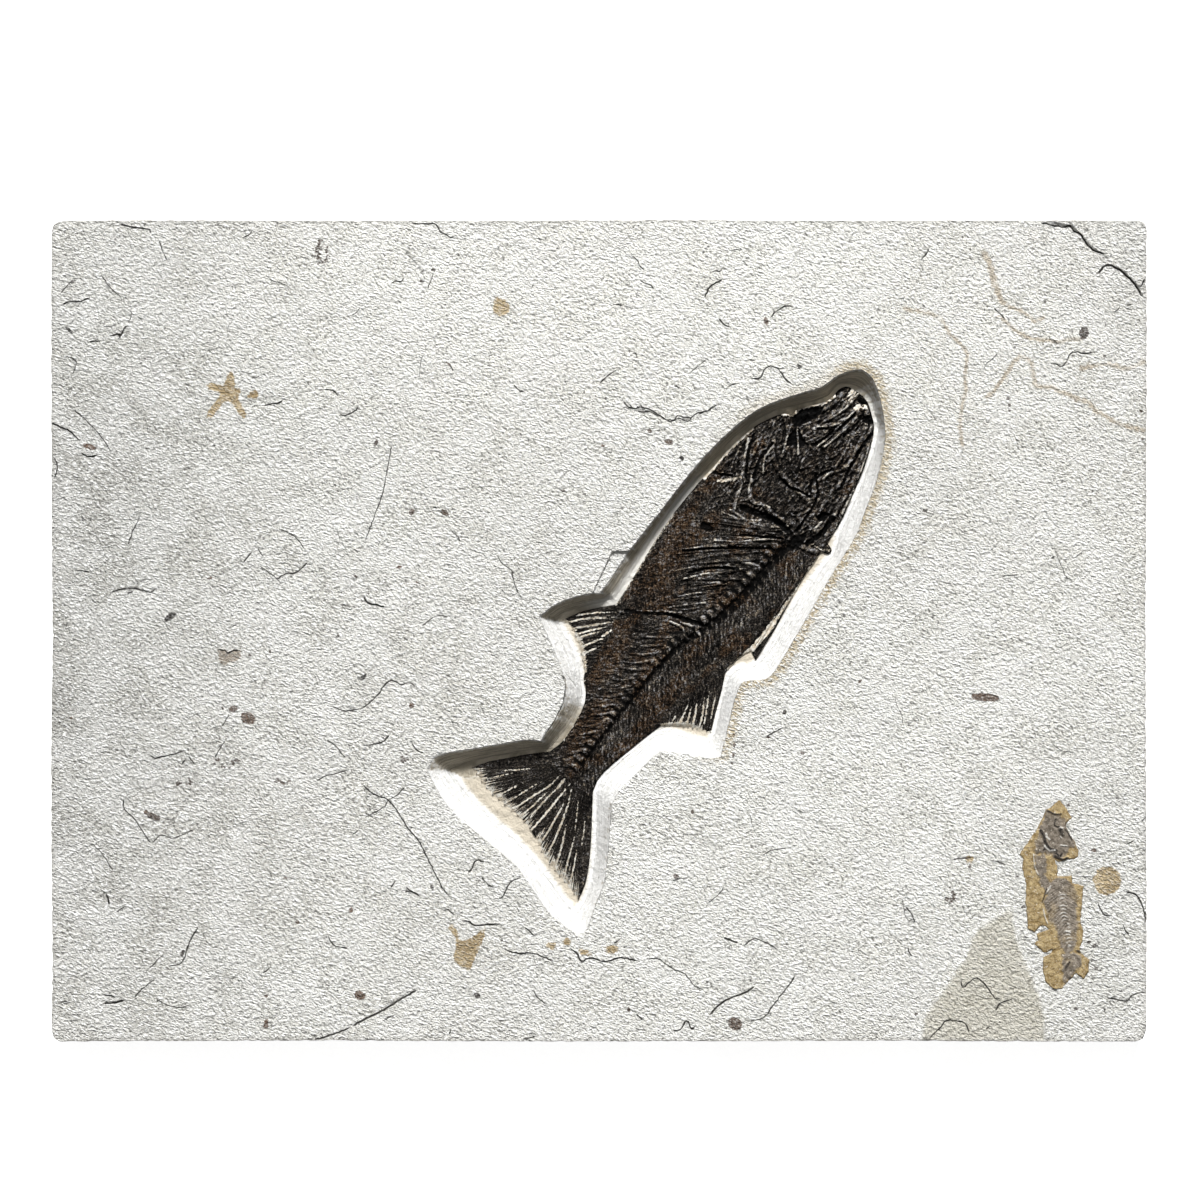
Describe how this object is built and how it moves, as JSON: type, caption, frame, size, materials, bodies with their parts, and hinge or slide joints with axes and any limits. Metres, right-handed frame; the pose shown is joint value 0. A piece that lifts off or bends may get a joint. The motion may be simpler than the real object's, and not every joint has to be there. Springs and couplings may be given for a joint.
{
  "type": "fossil fish slab",
  "caption": "Rectangular limestone plate with a dark fossil fish lying in a recess cut around it and a smaller brown fossil fish on its face.",
  "frame": {"origin": "centre of the underside of the plate", "axes": "+X along the plate's long side, towards the edge near the small fish; +Z out of the face that shows the fish"},
  "size_m": [0.6095, 0.4571, 0.025],
  "materials": {
    "limestone": "pale grey-cream limestone, fine felt-like grain, chalk white where it is cut, tan and rust stains",
    "fossil_bone": "dark brown to black mineralised bone and scales, slightly glossy on the bones",
    "small_fossil_bone": "thin tan and grey-brown bone and skin film, dull"
  },
  "bodies": {
    "root": {"limestone_slab": "limestone", "fossil_fish": "fossil_bone", "small_fossil_fish": "small_fossil_bone"}
  },
  "joints": []
}
